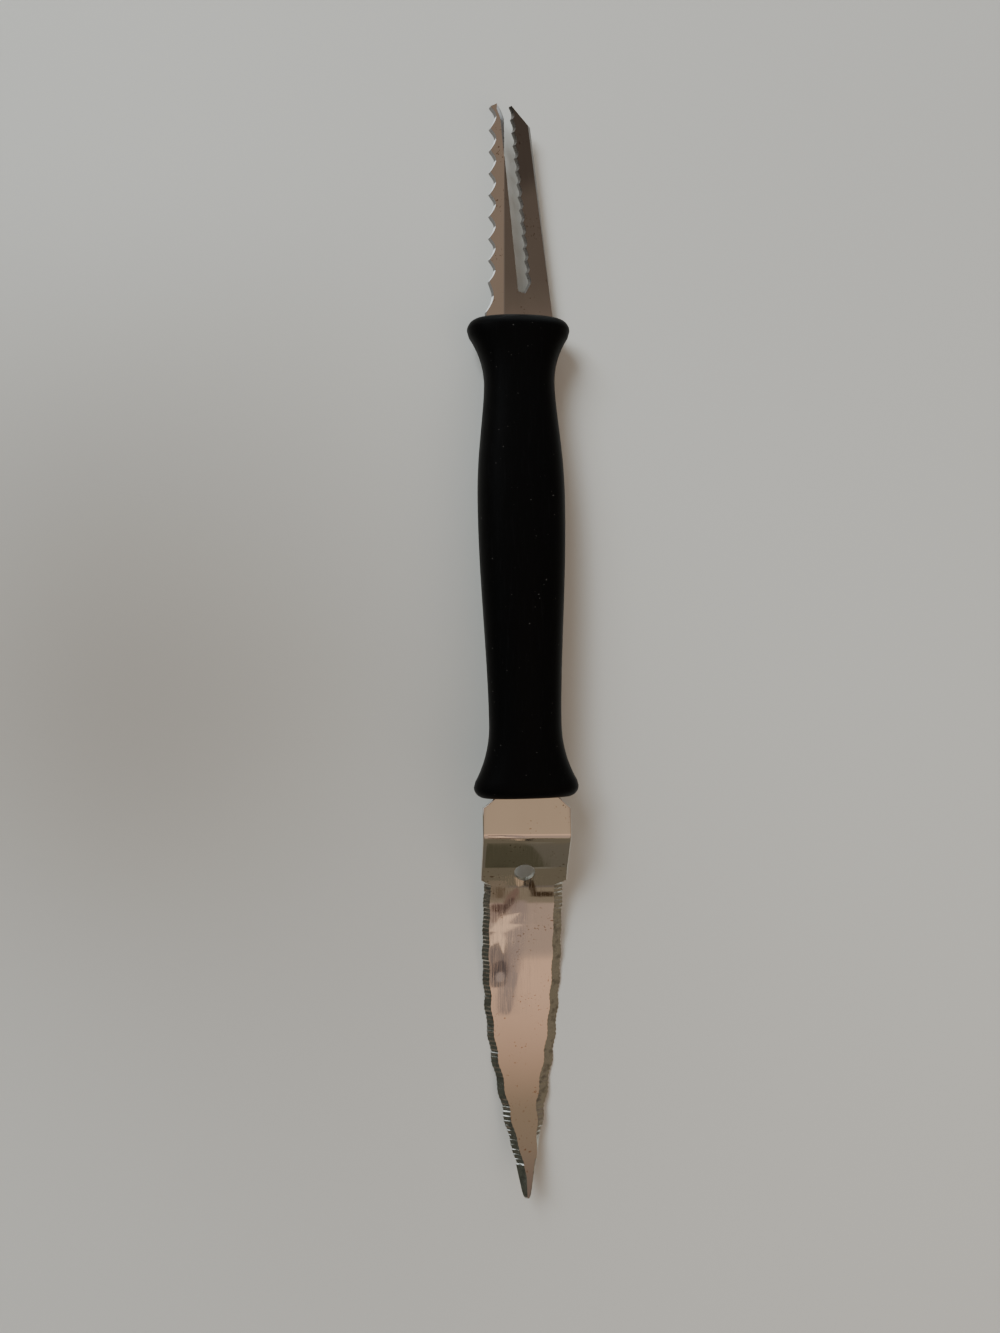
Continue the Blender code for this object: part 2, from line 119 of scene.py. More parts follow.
# The ground part's half widths, each at a share of its length from the shoulder to the tip
LEAF = ((0.0, 0.0092), (0.254, 0.0094), (0.411, 0.0089), (0.558, 0.0078), (0.637, 0.0067),
        (0.715, 0.0056), (0.823, 0.0039), (0.902, 0.0023), (0.961, 0.0014), (0.99, 0.0009), (1.0, 0.0005))
TOOTH_PITCH = 0.00105
TOOTH_DEPTH = 0.00022
TOOTH_STEPS = 10
TOOTH_POWER = 2.4
UNEVEN_TEETH = 0.6
TOOTH_BEATS = (2.4, 0.9)
LAST_TOOTH = 1.2
WAVE_PITCH = 0.0067
WAVE_HEIGHT = 0.0002
WAVES_START_SHARE = 0.3
WAVES_FULL_SHARE = 0.6
FIRST_WAVE = 0.0057
GRIND_WIDTH = 0.0015
GRIND_WIDENING = 0.0003
GRIND_ZIGZAG = 0.00012
RIGHT_GRIND_WIDER = 1.35
LEFT_GRIND_SHARE_AT_TIP = 1.05
RIGHT_GRIND_SHARE_AT_TIP = 0.6
RIGHT_GRIND_ENDS = 0.0085
RIGHT_GRIND_FADES = 0.013
SHARP_EDGE = 0.00012
PLAIN_TIP = 0.007
TIP_STEPS = 24
HOLE_WIDTH = 0.0047
HOLE_INTO_VALLEY = 0.0018
HOLE_DRILL_LENGTH = 0.008
HOLE_POINTS = 72
BEVEL_STEPS = 6
STAMPED_ROUNDING = 0.00025
COLUMNS = 24

# Twin blade: one folded sheet, slotted into two blades
TWIN_SHEET = 0.0009
TWIN_REACH = 0.0471
SCALLOPED_WIDTH = 0.0054
STRAIGHT_WIDTH = 0.0136
SCALLOPED_SLOPE = 42.0
STRAIGHT_SLOPE = 30.0
FOLD_ROUNDING = 0.00012
FOLD_STEPS = 3
RIDGE_OFFSET = -0.0035
RIDGE_HEIGHT = 0.0036
TWIN_LEAN = 1.0
TWIN_SEAT_DEPTH = 0.003
TWIN_TANG_LENGTH = 0.028
TWIN_TANG_INSET = 0.0024
TWIN_TANG_WIDTH = 0.0105
SCALLOP_PITCH = 0.00485
SCALLOP_DEPTH = 0.0015
SCALLOP_TIP_LINE = 0.0046
SCALLOP_NARROWING = 0.0003
SCALLOPS = 8
SCALLOP_SKEW = 1.25
SCALLOP_GRIND = 0.0010
SCALLOP_EDGE = 0.00035
SCALLOP_POINTS = 22
LOWEST_SCALLOP_ENDS = 0.0017
# The scalloped blade's tip from the slot round to its point: across from the fold, and short of the reach
SCALLOPED_TIP = ((0.0, 0.0066), (0.0002, 0.0045), (0.0004, 0.0034), (0.0008, 0.0024), (0.0013, 0.0012),
                 (0.0020, 0.0))
TIP_GRIND = 0.0004
TIP_EDGE = 0.0004
STRAIGHT_TIP_GRIND = 0.0010
TOOTHED_PITCH = 0.00275
TOOTHED_DEPTH = 0.00055
TOOTHED_GRIND = 0.0002
TOOTHED_EDGE = 0.0003
TOOTHED_POINTS = 14
SLOT_BOTTOM = 0.0059
SLOT_WIDTH = 0.0030
SLOT_FROM_FOLD = 0.0035
SLOT_CROSSES_FOLD = 0.0348
SLOT_CORNER = 0.0010
STRAIGHT_TIP_WIDTH = 0.0057
STRAIGHT_TIP_DROP = 0.0034

# Materials. A pair of colours is what a noise blends, a depth is a bump's, and haze is added roughness
CURVED_POLISH = (0.79, 0.76, 0.71)
TWIN_POLISH = (0.76, 0.72, 0.68)
# Painted shade toward each tip: where along the knife it begins and is full, and the colour left there
CURVED_PAINTED_SHADE = (-0.068, -0.107, 0.59)
TWIN_PAINTED_SHADE = (0.10, 0.14, 0.9)
FILM_SHADE = 0.95
RUST_COLOUR = (0.30, 0.19, 0.11)
# Scratches: their turn, length and width, and the noise levels where they begin and are full
HAIRLINES = ((12.0, 0.012, 0.00010, 0.64, 0.74), (-31.0, 0.007, 0.00008, 0.68, 0.78),
             (74.0, 0.004, 0.00007, 0.71, 0.80))
SCUFFS = (24.0, 0.006, 0.00016, 0.66, 0.78)
HAIRLINE_HAZE = 0.04
HAIRLINE_DEPTH = 0.0000002
WAVINESS_DEPTH = 0.00001
GROUND_COLOUR = (0.60, 0.60, 0.55)
GRIME_SHADE = 0.6
GRIND_LINE_DEPTH = 0.000006
FLUTE_DEPTH = 0.00004
FLUTES_END = (-0.1175, -0.1170)
# Painted highlight: near-white colours that the twin blade's bevels facing the far left are given
PAINTED_HIGHLIGHT_COLOURS = ((0.90, 0.90, 0.89), (0.97, 0.97, 0.96))
BRIGHT_LINE_DEPTH = 0.000004
# Dark colours of the cut walls, which are also painted shade on the twin blade's bevels not facing the far
# left
SHEARED_AND_SHADE_COLOURS = ((0.16, 0.16, 0.16), (0.34, 0.32, 0.31))
TORN_DEPTH = 0.00001
PLASTIC_COLOURS = ((0.0018, 0.0018, 0.0019), (0.005, 0.005, 0.0054))
DUST_COLOUR = (0.05, 0.048, 0.045)
SCUFF_HAZE = 0.08
PLASTIC_WAVINESS = 0.00004
PLASTIC_GRAIN_DEPTH = 0.000012
PLASTIC_IOR = 1.49
PLASTIC_SPECULAR = 0.08
LAMINATE_COLOURS = ((0.60, 0.60, 0.565), (0.635, 0.63, 0.595))
LAMINATE_GRAIN_DEPTH = 0.00001
LAMINATE_ROUGHNESS = 0.55
CARD_COLOURS = ((0.02, 0.02, 0.02), (0.03, 0.03, 0.03))
CARD_ROUGHNESS = 0.9

# Camera, as fitted to the photograph
CAMERA_PLACE = (-0.02864, 0.01262, 0.23123)
CAMERA_TURN = (-3.13, -6.06, -0.61)
CAMERA_LENS = 27.0
CAMERA_SENSOR = 36.0
CAMERA_CLIP_START = 0.01

# Table and light
TABLE_SIZE = 3.0
TABLE_CELLS = 8
# Soft lamps, each with a place, a width, a power and a colour: daylight from the far left and warm
# light from the right
LAMPS = (
    ("window", (-0.70, 0.90, 1.00), 0.75, 22.5, (0.88, 0.96, 1.0)),
    ("room_light", (0.35, -0.25, 0.40), 0.40, 0.6, (1.0, 0.84, 0.70)),
)
# A dark card that shades the table left of the knife from the window
CARD_PLACE = (-0.169, 0.110, 0.15)
CARD_WIDTH = 0.10
ROOM_COLOUR = (0.17, 0.14, 0.115)
# What the steel mirrors: a direction, the angles where its colour is full and gone, and the colour
ROOM_PARTS = (
    ((1.0, 0.30, 0.35), 20.0, 45.0, (0.20, 0.155, 0.125)),
    ((0.835, 0.47, 0.29), 5.0, 9.5, (0.115, 0.092, 0.073)),
    ((0.75, 0.62, 0.33), 10.0, 11.2, (0.07, 0.055, 0.045)),
    ((0.78, -0.46, 0.42), 22.0, 34.0, (0.23, 0.185, 0.135)),
    ((-1.0, 0.45, 0.15), 15.0, 40.0, (0.26, 0.20, 0.155)),
    ((-0.8, -0.2, 0.6), 25.0, 38.0, (0.075, 0.077, 0.064)),
    ((0.1, 1.0, 0.05), 20.0, 38.0, (1.9, 2.1, 2.2)),
    ((0.10, 0.05, 1.0), 5.0, 20.0, (0.31, 0.225, 0.185)),
    ((0.13, -0.22, 0.97), 6.0, 24.0, (0.47, 0.345, 0.24)),
    ((0.12, -0.47, 0.87), 3.0, 24.0, (0.78, 0.50, 0.345)),
    ((0.1, -1.0, 0.12), 16.0, 27.0, (0.133, 0.117, 0.090)),
    ((-0.62, 0.50, 0.72), 9.0, 16.0, (1.7, 1.8, 1.9)),
)
# Smaller things that the curved blade mirrors, in steps to the right and from the horizon beyond its tip
# towards overhead: where the count of steps starts, how much of a direction or how many degrees a step is,
# and for each its middle, half sizes, turn, roundness, softness and colour. Roundness 1 is a diamond, 2 an
# ellipse and more nearly a rectangle.
STEPS_START = (0.1185, 37.2)
STEP = (0.00097, 0.234)
SMALL_PARTS = (
    ((0, -60), (300, 51), 0, 12, 0.04, (0.15, 0.127, 0.090)),
    ((-42, -123), (46, 12.5), 0, 3, 0.03, (0.078, 0.070, 0.045)),
    ((-42, -118.3), (10, 0.6), 0, 2, 0.5, (0.04, 0.034, 0.022)),
    ((-3, -106), (14, 4), 4, 2, 0.5, (0.22, 0.20, 0.165)),
    ((15, 31), (200, 32), 0, 4, 0.8, (0.45, 0.325, 0.255)),
    ((10, 1), (300, 8), 0, 6, 0.6, (0.25, 0.20, 0.145)),
    ((-22, 62), (9, 56), 5, 4, 0.12, (0.35, 0.26, 0.225)),
    ((-37, 62), (10, 30), -5, 4, 0.1, (0.215, 0.165, 0.145)),
    ((-43, -4), (11, 10), 0, 4, 0.15, (0.21, 0.165, 0.12)),
    ((-40, -2), (5, 6), 0, 3, 0.25, (0.11, 0.075, 0.045)),
    ((-41, 19), (8, 10), 0, 4, 0.15, (0.26, 0.18, 0.15)),
    ((-41, 14.5), (8, 4), 0, 3, 0.25, (0.12, 0.07, 0.055)),
    ((-27.5, 5), (5, 13), 25, 2, 0.2, (0.20, 0.125, 0.10)),
    ((-31, 13), (3, 11), 30, 2, 0.2, (0.09, 0.055, 0.045)),
    ((-33, 28), (18, 6), -31, 1, 0.06, (0.92, 0.62, 0.43)),
    ((-32, 34), (17, 5), -10, 1, 0.06, (0.92, 0.62, 0.43)),
    ((-34, 45), (16, 5), 80, 1, 0.06, (0.92, 0.62, 0.43)),
    ((-42, 44), (13, 5), -60, 1, 0.06, (0.92, 0.62, 0.43)),
    ((-34, 76), (8, 10), 0, 2, 0.15, (0.115, 0.088, 0.082)),
    ((-33, 82), (4, 5), 0, 2, 0.4, (0.36, 0.28, 0.25)),
    ((4.5, 0), (12, 2.6), 0, 6, 0.15, (0.045, 0.025, 0.012)),
    ((-7, -7), (3, 8), -20, 3, 0.15, (0.045, 0.025, 0.012)),
    ((-20, -28), (5, 20), 0, 3, 0.12, (0.48, 0.34, 0.23)),
    ((-12, -32), (4.5, 24), 0, 3, 0.12, (0.05, 0.04, 0.03)),
)
# How far right a direction points where these smaller things begin to show, and where they end
PARTS_BEGIN = (-0.05, 0.0)
PARTS_END = (0.22, 0.27)


# Shapes


def interpolate(stations, place):
    """A smooth curve through stations, each a place and a value, level where the values turn."""
    places = [station[0] for station in stations]
    values = [station[1] for station in stations]
    steps = [(values[i + 1] - values[i]) / (places[i + 1] - places[i]) for i in range(len(values) - 1)]
    index = next((i for i in range(len(steps)) if place <= places[i + 1]), len(steps) - 1)
    slopes = []
    for i in (index, index + 1):
        before = steps[max(i - 1, 0)]
        after = steps[min(i, len(steps) - 1)]
        slopes.append(0.0 if before * after <= 0 else 2 * before * after / (before + after))
    width = places[index + 1] - places[index]
    t = (place - places[index]) / width
    rise = values[index + 1] - values[index]
    return (values[index] + rise * t * t * (3 - 2 * t)
            + width * t * (1 - t) * (slopes[0] * (1 - t) - slopes[1] * t))


def walk(bends, distance, heading=0.0):
    """The place and heading of a sheet's mid line at a distance along its bends, each a length and a turn."""
    place = Vector((0.0, 0.0))
    for length, turn in bends:
        step = min(distance, length)
        angle = turn * step / length
        chord = step if abs(angle) < 1e-9 else 2 * length / turn * math.sin(angle / 2)
        place += chord * Vector((math.cos(heading + angle / 2), math.sin(heading + angle / 2)))
        heading += angle
        distance -= step
        if distance <= 0:
            break
    return place, heading


def loft(rings, slot_of=None):
    """A closed body through rings of points. slot_of gives the material of the face at a ring and a point."""
    bm = bmesh.new()
    made = [[bm.verts.new(point) for point in ring] for ring in rings]
    for row, (ring, after) in enumerate(zip(made, made[1:])):
        for here in range(len(ring)):
            beside = (here + 1) % len(ring)
            face = bm.faces.new((ring[here], ring[beside], after[beside], after[here]))
            if slot_of:
                face.material_index = slot_of(row, here)
    bm.faces.new(made[0])
    bm.faces.new(made[-1])
    return bm


def knife_matrix():
    """Where the knife's own frame lies on the table, from the mount on the flat of its shank."""
    mount = frame["record"]["mounts"][0]
    normal = Vector(mount["axis"])
    turn = Matrix.Rotation(-math.atan2(normal.y, normal.z), 4, "X")
    face_centre = Vector((0.0, -(CHAMFER_LENGTH + SHANK_LENGTH) / 2, BLADE_SHEET / 2))
    return Matrix.Translation(Vector(mount["pos_m"]) - turn @ face_centre) @ turn


KNIFE = knife_matrix()


def make_piece(name, bm, materials):
    """An object from a bmesh in the knife's frame, closed, faced outwards and laid on the table."""
    bmesh.ops.remove_doubles(bm, verts=bm.verts, dist=WELD)
    bmesh.ops.dissolve_degenerate(bm, edges=bm.edges, dist=WELD)
    bmesh.ops.recalc_face_normals(bm, faces=bm.faces)
    bmesh.ops.transform(bm, matrix=KNIFE, verts=bm.verts)
    mesh = bpy.data.meshes.new(name)
    bm.to_mesh(mesh)
    bm.free()
    for material in materials:
        mesh.materials.append(material)
    piece = bpy.data.objects.new(name, mesh)
    bpy.context.scene.collection.objects.link(piece)
    return piece


def carve(piece, cutter):
    """Take the cutter's shape out of the piece for good, and remove the cutter."""
    cut = piece.modifiers.new("cut", "BOOLEAN")
    cut.operation = "DIFFERENCE"
    cut.solver = "EXACT"
    cut.object = cutter
    settle(piece)
    bpy.data.objects.remove(cutter, do_unlink=True)


def settle(piece):
    """Apply the piece's modifiers."""
    depsgraph = bpy.context.evaluated_depsgraph_get()
    mesh = bpy.data.meshes.new_from_object(piece.evaluated_get(depsgraph))
    piece.modifiers.clear()
    piece.data = mesh


def smooth(piece):
    """Shade the piece smooth, with its real edges sharp, also where one material meets another."""
    mesh = piece.data
    mesh.shade_smooth()
    mesh.set_sharp_from_angle(angle=math.radians(SHARP_ANGLE))
    bm = bmesh.new()
    bm.from_mesh(mesh)
    for edge in bm.edges:
        if len({face.material_index for face in edge.link_faces}) > 1:
            edge.smooth = False
    bm.to_mesh(mesh)
    bm.free()


def flatten_flanks(piece):
    """Keep the shading of large flat faces apart from a narrow rounding beside them."""
    bm = bmesh.new()
    bm.from_mesh(piece.data)
    for edge in bm.edges:
        areas = sorted(face.calc_area() for face in edge.link_faces)
        if areas[-1] > FLAT_FACE * areas[0]:
            edge.smooth = False
    bm.to_mesh(piece.data)
    bm.free()


# Handle


def flank_radius(reach, rise):
    """The radius of a flare's flank arc, which is tangent to the lip arc and to the body."""
    return (reach ** 2 + rise ** 2) / (2 * rise) - LIP_RADIUS


def crest_depth(reach, rise):
    """How far from the handle's end a flare's lip arc meets its flank arc."""
    return LIP_RADIUS + reach * LIP_RADIUS / (LIP_RADIUS + flank_radius(reach, rise))


def flare_rise(depth, reach, rise):
    """How far a flare stands out of the body at a depth from the end."""
    from_waist = LIP_RADIUS + reach - depth
    if from_waist <= 0:
        return 0.0
    if depth > crest_depth(reach, rise):
        flank = flank_radius(reach, rise)
        return flank - math.sqrt(flank ** 2 - from_waist ** 2)
    return rise - LIP_RADIUS + math.sqrt(max(LIP_RADIUS ** 2 - (depth - LIP_RADIUS) ** 2, 0.0))


def handle_half_size(place, near_flare, waist, belly, neck, far_flare):
    """Half the handle's width or height at a place along it, from its sizes at the five named places."""
    waist_place = LIP_RADIUS + NEAR_FLARE_REACH
    neck_place = HANDLE_LENGTH - LIP_RADIUS - FAR_FLARE_REACH
    belly_place = HANDLE_LENGTH - BELLY_FROM_FAR_END
    if place < belly_place:
        start, end, ease = waist, waist_place, WAIST_EASE
    else:
        start, end, ease = neck, neck_place, NECK_EASE
    share = min(max((place - end) / (belly_place - end), 0.0), 1.0)
    body = start + (belly - start) * math.sin(math.pi / 2 * share ** ease) ** 2
    near = flare_rise(place, NEAR_FLARE_REACH, near_flare - waist)
    far = flare_rise(HANDLE_LENGTH - place, FAR_FLARE_REACH, far_flare - neck)
    return body + near + far


def handle_places():
    """Where the handle's rings stand: close together round the lips, wider apart on the body."""
    lip = [LIP_RADIUS * (1 - math.cos(math.pi * i / (2 * LIP_RINGS))) for i in range(LIP_RINGS + 1)]
    flares = []
    for reach, rise in ((NEAR_FLARE_REACH, NEAR_FLARE_HALF_WIDTH - WAIST_HALF_WIDTH),
                        (FAR_FLARE_REACH, FAR_FLARE_HALF_WIDTH - NECK_HALF_WIDTH)):
        crest = crest_depth(reach, rise)
        waist_depth = LIP_RADIUS + reach
        flank = [crest + (waist_depth - crest) * i / FLANK_RINGS for i in range(FLANK_RINGS + 1)]
        flares.append(lip + flank)
    near, far = flares
    start = near[-1]
    end = HANDLE_LENGTH - far[-1]
    body = [start + (end - start) * i / BODY_RINGS for i in range(1, BODY_RINGS)]
    return near + body + [HANDLE_LENGTH - depth for depth in reversed(far)]


def handle_ring(place):
    """One section of the handle: a soft oval, with the mould's parting line along both sides."""
    half_width = handle_half_size(place, NEAR_FLARE_HALF_WIDTH, WAIST_HALF_WIDTH, BELLY_HALF_WIDTH,
                                  NECK_HALF_WIDTH, FAR_FLARE_HALF_WIDTH)
    half_height = handle_half_size(place, FLARE_HALF_HEIGHT, WAIST_HALF_HEIGHT, BELLY_HALF_HEIGHT,
                                   NECK_HALF_HEIGHT, FLARE_HALF_HEIGHT)
    ring = []
    for i in range(SECTION_POINTS):
        across = math.cos(2 * math.pi * i / SECTION_POINTS)
        up = math.sin(2 * math.pi * i / SECTION_POINTS)
        x = math.copysign(abs(across) ** (2 / SECTION_POWER), across) * half_width
        z = math.copysign(abs(up) ** (2 / SECTION_POWER), up) * half_height
        x -= math.copysign(PARTING_HEIGHT, x) * (1 - math.exp(-((z / PARTING_WIDTH) ** 2)))
        ring.append((x, place, z))
    return ring


def tang_cutter():
    """The pocket in the handle for the curved blade's tang."""
    half_gap = BLADE_SHEET / 2 + SEAT_GAP
    taper = (TANG_MOUTH_WIDTH - TANG_END_WIDTH) / 2 / TANG_LENGTH
    rings = []
    for depth in (-MOUTH_OVERRUN, TANG_LENGTH + SEAT_GAP):
        half = TANG_MOUTH_WIDTH / 2 - taper * depth + SEAT_GAP
        rings.append([(-half, depth, -half_gap), (half, depth, -half_gap), (half, depth, half_gap),
                      (-half, depth, half_gap)])
    return make_piece("tang_cutter", loft(rings), ())


def twin_cutter():
    """The folded pocket in the handle for the twin blade's tang."""
    tang_left = TWIN_TANG_INSET - SCALLOPED_WIDTH - SEAT_GAP
    tang_right = tang_left + TWIN_TANG_WIDTH + 2 * SEAT_GAP
    left = -SCALLOPED_WIDTH - SEAT_GAP
    right = STRAIGHT_WIDTH + SEAT_GAP
    seat = -TWIN_SEAT_DEPTH - SEAT_GAP
    bottom = -TWIN_TANG_LENGTH - SEAT_GAP
    outline = [(tang_left, bottom, 0.0, 0.0), (tang_right, bottom, 0.0, 0.0), (tang_right, seat, 0.0, 0.0),
               (right, seat, 0.0, 0.0), (right, MOUTH_OVERRUN, 0.0, 0.0), (left, MOUTH_OVERRUN, 0.0, 0.0),
               (left, seat, 0.0, 0.0), (tang_left, seat, 0.0, 0.0)]
    bm = flat_sheet(outline, TWIN_SHEET + 2 * SEAT_GAP)
    fold_sheet(bm)
    return make_piece("twin_cutter", bm, ())


def build_handle(material):
    """The moulded handle with the two pockets that the tangs sit in."""
    handle = make_piece("handle_moulding", loft([handle_ring(place) for place in handle_places()]),
                        (material,))
    carve(handle, tang_cutter())
    carve(handle, twin_cutter())
    smooth(handle)
    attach(handle, BODY)
    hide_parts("handle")


# Curved blade


def blade_bends():
    """The bends of the curved blade's sheet, from the inner end of its tang to its tip."""
    valley = math.radians(VALLEY_TURN)
    belly = math.radians(BELLY_TURN)
    return ((TANG_LENGTH + SHANK_LENGTH + RIDGE_STARTS_BEYOND, 0.0),
            (KNEE_LENGTH, -math.radians(KNEE_TURN)),
            (EASE_LENGTH, -math.radians(EASE_TURN)),
            (SLOPE_LENGTH, 0.0),
            (VALLEY_RADIUS * valley, valley),
            (BELLY_RADIUS * belly, belly))


def on_blade(distance, across, above):
    """A point of the curved blade: a distance along its sheet, across it, and above its mid line."""
    place, heading = walk(blade_bends(), distance)
    forward = place.x - above * math.sin(heading)
    up = place.y + above * math.cos(heading)
    skew = BEND_SKEW * across if distance > TANG_LENGTH else 0.0
    return Vector((across, TANG_LENGTH - forward - skew, up))


def blade_marks():
    """Distances along the curved blade's sheet: the end of each of its bends."""
    marks = []
    distance = 0.0
    for length, _ in blade_bends():
        distance += length
        marks.append(distance)
    return marks


def leaf_half_width(along, length):
    """Half the ground blade's width at a distance along it, with the wave that its edges are ground to."""
    toothed_length = length - PLAIN_TIP
    fade = min(max((toothed_length - along) / PLAIN_TIP, 0.0), 1.0)
    grown = min(WAVES_START_SHARE + (1 - WAVES_START_SHARE) * along / length / WAVES_FULL_SHARE, 1.0)
    wave = WAVE_HEIGHT * grown * fade * math.cos(2 * math.pi * (along - FIRST_WAVE) / WAVE_PITCH)
    return interpolate(LEAF, along / length) + wave


def edge_profile(grind, bite):
    """Points up one edge of the sheet, each an inset and a height: a bevel, or a stamped edge's rounding.

    A tooth's hollow bites into the bevel, most of all at its sharp edge.
    """
    top = BLADE_SHEET / 2
    points = []
    for i in range(BEVEL_STEPS):
        share = i / BEVEL_STEPS
        if grind > 0:
            height = SHARP_EDGE - top + (BLADE_SHEET - SHARP_EDGE) * share
            points.append((grind * share + bite * (1 - share) ** 2, height))
        else:
            angle = math.pi / 2 * share
            height = top - STAMPED_ROUNDING * (1 - math.sin(angle))
            points.append((STAMPED_ROUNDING * (1 - math.cos(angle)), height))
    return points


def blade_section(distance, half, grinds, bite):
    """One section of the sheet, counter-clockwise from its lower left: grinds are the bevels' widths."""
    top = BLADE_SHEET / 2
    left = half - (grinds[0] or STAMPED_ROUNDING)
    right = half - (grinds[1] or STAMPED_ROUNDING)
    outline = [((half - bite) * (2 * i / COLUMNS - 1), -top) for i in range(COLUMNS + 1)]
    outline += [(half - inset, height) for inset, height in edge_profile(grinds[1], bite)]
    outline += [(right - (left + right) * i / COLUMNS, top) for i in range(COLUMNS + 1)]
    outline += [(inset - half, height) for inset, height in reversed(edge_profile(grinds[0], bite))]
    return [on_blade(distance, across, above) for across, above in outline]


def ground_stations(length):
    """Distances along the ground part, each with how deep it lies in a tooth's hollow, from 0 to 1."""
    tooth_count = int((length - PLAIN_TIP) / TOOTH_PITCH)
    stations = []
    for i in range(tooth_count * TOOTH_STEPS):
        tooth, step = divmod(i, TOOTH_STEPS)
        fast, slow = (math.sin(beat * tooth) for beat in TOOTH_BEATS)
        deepest = 1 - UNEVEN_TEETH * (0.5 + 0.5 * fast * slow)
        hollow = 1 - abs(2 * step / TOOTH_STEPS - 1) ** TOOTH_POWER
        if tooth == tooth_count - 1:
            deepest = LAST_TOOTH
        stations.append(((0.5 + i / TOOTH_STEPS) * TOOTH_PITCH, deepest * hollow))
    last_tooth = (0.5 + tooth_count) * TOOTH_PITCH
    for i in range(TIP_STEPS + 1):
        share = math.sin(math.pi / 2 * i / TIP_STEPS)
        stations.append((last_tooth + (length - last_tooth) * share, 0.0))
    return stations


def curved_blade_rings():
    """Sections of the curved blade from its tang to its tip, and the number of the first ground one."""
    mouth = TANG_LENGTH
    shank_end, knee_end, ridge_end, valley_start, valley_end, tip = blade_marks()
    sections = [(0.0, TANG_END_WIDTH / 2), (mouth, TANG_MOUTH_WIDTH / 2),
                (mouth + CHAMFER_LENGTH, SHANK_WIDTH / 2)]
    for start, end in ((shank_end, knee_end), (knee_end, ridge_end), (valley_start, valley_end)):
        for i in range(BEND_STEPS + 1):
            sections.append((start + (end - start) * i / BEND_STEPS, SHANK_WIDTH / 2))
    shoulder = valley_end + SHOULDER_BEYOND_VALLEY
    sections.append((shoulder, SHANK_WIDTH / 2))
    rings = [blade_section(distance, half, (0.0, 0.0), 0.0) for distance, half in sections]
    first_ground = len(rings)
    ground_start = shoulder + SHOULDER_LENGTH
    ground_length = tip - ground_start
    for along, in_hollow in ground_stations(ground_length):
        half = leaf_half_width(along, ground_length)
        grind = GRIND_WIDTH + GRIND_WIDENING * along / ground_length + GRIND_ZIGZAG * in_hollow
        kept = min(max((ground_length - along - RIGHT_GRIND_ENDS) / RIGHT_GRIND_FADES, 0.0), 1.0)
        grinds = (min(grind, half * LEFT_GRIND_SHARE_AT_TIP),
                  min(grind * kept * RIGHT_GRIND_WIDER, half * RIGHT_GRIND_SHARE_AT_TIP))
        rings.append(blade_section(ground_start + along, half, grinds, TOOTH_DEPTH * in_hollow))
    return rings, first_ground


def hole_cutter(materials):
    """A round bar through the hanging hole, square to the sheet, whose faces have the second material."""
    distance = blade_marks()[3] + HOLE_INTO_VALLEY
    heading = walk(blade_bends(), distance)[1]
    place = Matrix.Translation(on_blade(distance, 0.0, 0.0)) @ Matrix.Rotation(-heading, 4, "X")
    bm = bmesh.new()
    bmesh.ops.create_cone(bm, cap_ends=True, segments=HOLE_POINTS, radius1=HOLE_WIDTH / 2,
                          radius2=HOLE_WIDTH / 2, depth=HOLE_DRILL_LENGTH, matrix=place)
    for face in bm.faces:
        face.material_index = 1
    return make_piece("hole_cutter", bm, materials)


def build_curved_blade(polished, ground):
    """The bent blade with its fluted, ground edges, its tang and its hanging hole."""
    rings, first_ground = curved_blade_rings()
    right_bevel = range(COLUMNS + 1, COLUMNS + 1 + BEVEL_STEPS)
    left_bevel = range(2 * (COLUMNS + 1) + BEVEL_STEPS - 1, 2 * (COLUMNS + 1) + 2 * BEVEL_STEPS - 1)

    def slot_of(row, point):
        return int(row >= first_ground and (point in right_bevel or point in left_bevel))

    blade = make_piece("curved_blade_sheet", loft(rings, slot_of), (polished, ground))
    carve(blade, hole_cutter((polished, ground)))
    smooth(blade)
    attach(blade, BODY)
    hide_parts("curved_blade")


# Twin blade


def fold_sheet(bm):
    """Fold a flat sheet, whose X runs across the fold and Y along it, and set it on the handle's end."""
    bmesh.ops.bisect_plane(bm, geom=bm.verts[:] + bm.edges[:] + bm.faces[:], plane_co=(0.0, 0.0, 0.0),
                           plane_no=(1.0, 0.0, 0.0))
    half_turn = math.radians(SCALLOPED_SLOPE + STRAIGHT_SLOPE) / 2
    middle = math.radians(SCALLOPED_SLOPE) - half_turn
    across = Vector((math.cos(middle), 0.0, math.sin(middle)))
    outward = Vector((-math.sin(middle), 0.0, math.cos(middle)))
    lean = Matrix.Rotation(math.radians(-TWIN_LEAN), 4, "Z")
    ridge = []
    for vert in bm.verts:
        x, y, z = vert.co
        slope = half_turn if x < 0 else -half_turn
        place = (across * (x * math.cos(slope) - z * math.sin(slope))
                 + outward * (x * math.sin(slope) + z * math.cos(slope)))
        if abs(x) < WELD or place.dot(across) * x < 0:
            place = outward * (z / math.cos(half_turn))
            if z > 0:
                ridge.append(vert)
        vert.co = lean @ (place + Vector((0.0, y, 0.0)))
        vert.co += Vector((RIDGE_OFFSET, HANDLE_LENGTH, RIDGE_HEIGHT))
    crest = [edge for edge in bm.edges if edge.verts[0] in ridge and edge.verts[1] in ridge]
    bmesh.ops.bevel(bm, geom=crest, offset=FOLD_ROUNDING, segments=FOLD_STEPS, profile=0.5,
                    affect="EDGES", clamp_overlap=True)


